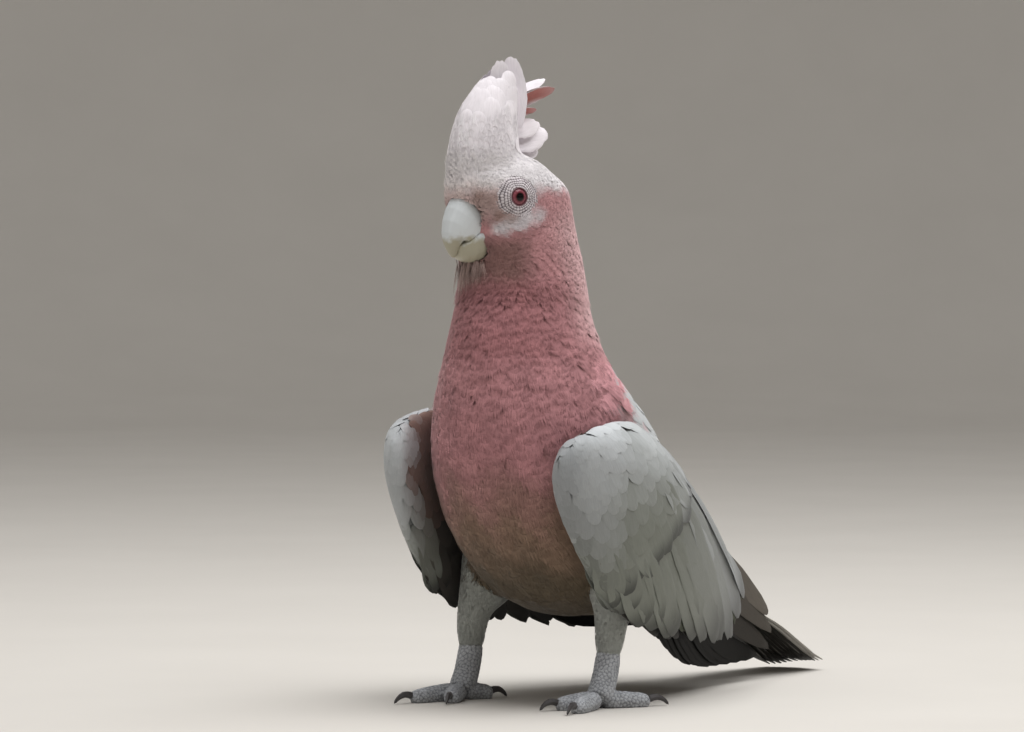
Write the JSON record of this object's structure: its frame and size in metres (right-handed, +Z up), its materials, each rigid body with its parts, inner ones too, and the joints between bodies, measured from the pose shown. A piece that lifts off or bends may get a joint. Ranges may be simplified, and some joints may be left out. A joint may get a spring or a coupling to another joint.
{
  "type": "galah",
  "caption": "Life-size still model of a pink and grey cockatoo standing at ease, crest half raised, head turned a little to its right, tail tip on the ground.",
  "frame": {"origin": "middle of the bounding box, on the ground the bird stands on", "axes": "+Z up; -Y the way the bird faces; +X the bird's left side"},
  "size_m": [0.1176, 0.26, 0.27],
  "materials": {
    "white_plumage": "soft, very pale pinkish white feathers",
    "pink_plumage": "soft rose pink feathers",
    "grey_plumage": "smooth pale blue-grey feathers",
    "slate_plumage": "smooth dark grey flight feathers",
    "thigh_plumage": "short soft grey feathers",
    "scaly_skin": "mealy grey scales",
    "bill_horn": "smooth pale bluish horn, worn at the tip",
    "claw_horn": "dark grey horn",
    "eye": "wet, dark red iris round a black pupil"
  },
  "bodies": {
    "root": {"head": "white_plumage", "neck": "pink_plumage", "trunk": "pink_plumage", "tail": "slate_plumage", "crest_fan": "white_plumage", "crest_curl_upper": "white_plumage", "crest_curl_lower": "white_plumage", "bill_upper": "bill_horn", "bill_lower": "bill_horn", "eye_left": "eye", "eye_right": "eye", "wing_left_coverts": "grey_plumage", "wing_left_secondaries": "grey_plumage", "wing_left_primaries": "slate_plumage", "wing_right_coverts": "grey_plumage", "wing_right_secondaries": "grey_plumage", "wing_right_primaries": "slate_plumage", "thigh_left": "thigh_plumage", "thigh_right": "thigh_plumage", "tarsus_left": "scaly_skin", "tarsus_right": "scaly_skin", "toe_left_inner_back": "scaly_skin", "toe_left_inner_front": "scaly_skin", "toe_left_outer_front": "scaly_skin", "toe_left_outer_back": "scaly_skin", "toe_right_inner_back": "scaly_skin", "toe_right_inner_front": "scaly_skin", "toe_right_outer_front": "scaly_skin", "toe_right_outer_back": "scaly_skin", "claw_left_inner_back": "claw_horn", "claw_left_inner_front": "claw_horn", "claw_left_outer_front": "claw_horn", "claw_left_outer_back": "claw_horn", "claw_right_inner_back": "claw_horn", "claw_right_inner_front": "claw_horn", "claw_right_outer_front": "claw_horn", "claw_right_outer_back": "claw_horn"}
  },
  "joints": []
}
